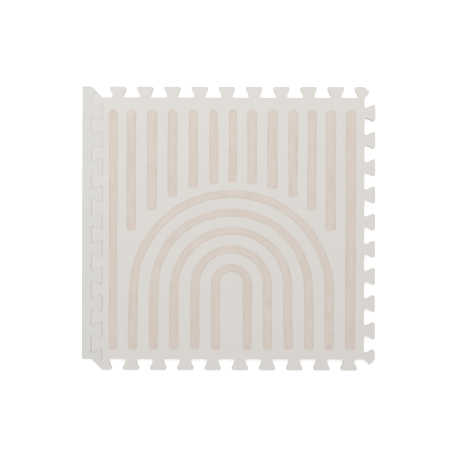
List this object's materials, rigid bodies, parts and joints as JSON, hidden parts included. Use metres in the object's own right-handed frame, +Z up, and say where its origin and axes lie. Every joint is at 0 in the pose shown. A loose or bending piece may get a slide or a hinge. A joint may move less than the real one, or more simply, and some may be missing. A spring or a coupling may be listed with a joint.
{
  "type": "interlocking foam play mat tile",
  "caption": "Square padded floor tile with dovetail teeth on its sides, a printed arch pattern and a lift-off edging strip on one side.",
  "frame": {"origin": "centre of the tile's flat underside, midway between its four toothed sides", "axes": "+Z up out of the printed face, +Y along the printed bars towards their tops, the edging strip on the -X side"},
  "size_m": [0.645, 0.624, 0.012],
  "materials": {
    "foam": "matte",
    "film": "matte",
    "ink": "matte"
  },
  "bodies": {
    "tile": {"tile_foam": "foam", "tile_film": "film", "print_bar_01": "ink", "print_bar_02": "ink", "print_bar_03": "ink", "print_bar_04": "ink", "print_bar_05": "ink", "print_bar_06": "ink", "print_bar_07": "ink", "print_bar_08": "ink", "print_bar_09": "ink", "print_bar_10": "ink", "print_bar_11": "ink", "print_bar_12": "ink", "print_bar_13": "ink", "print_arch_1": "ink", "print_arch_2": "ink", "print_arch_3": "ink", "print_arch_4": "ink", "print_arch_5": "ink"},
    "edging_strip": {"edging_foam": "foam", "edging_film": "film"}
  },
  "joints": [
    {"name": "edging_lift", "type": "slide", "parent": "tile", "child": "edging_strip", "axis": [0, 0, 1], "range_m": [0, 0.024]}
  ]
}
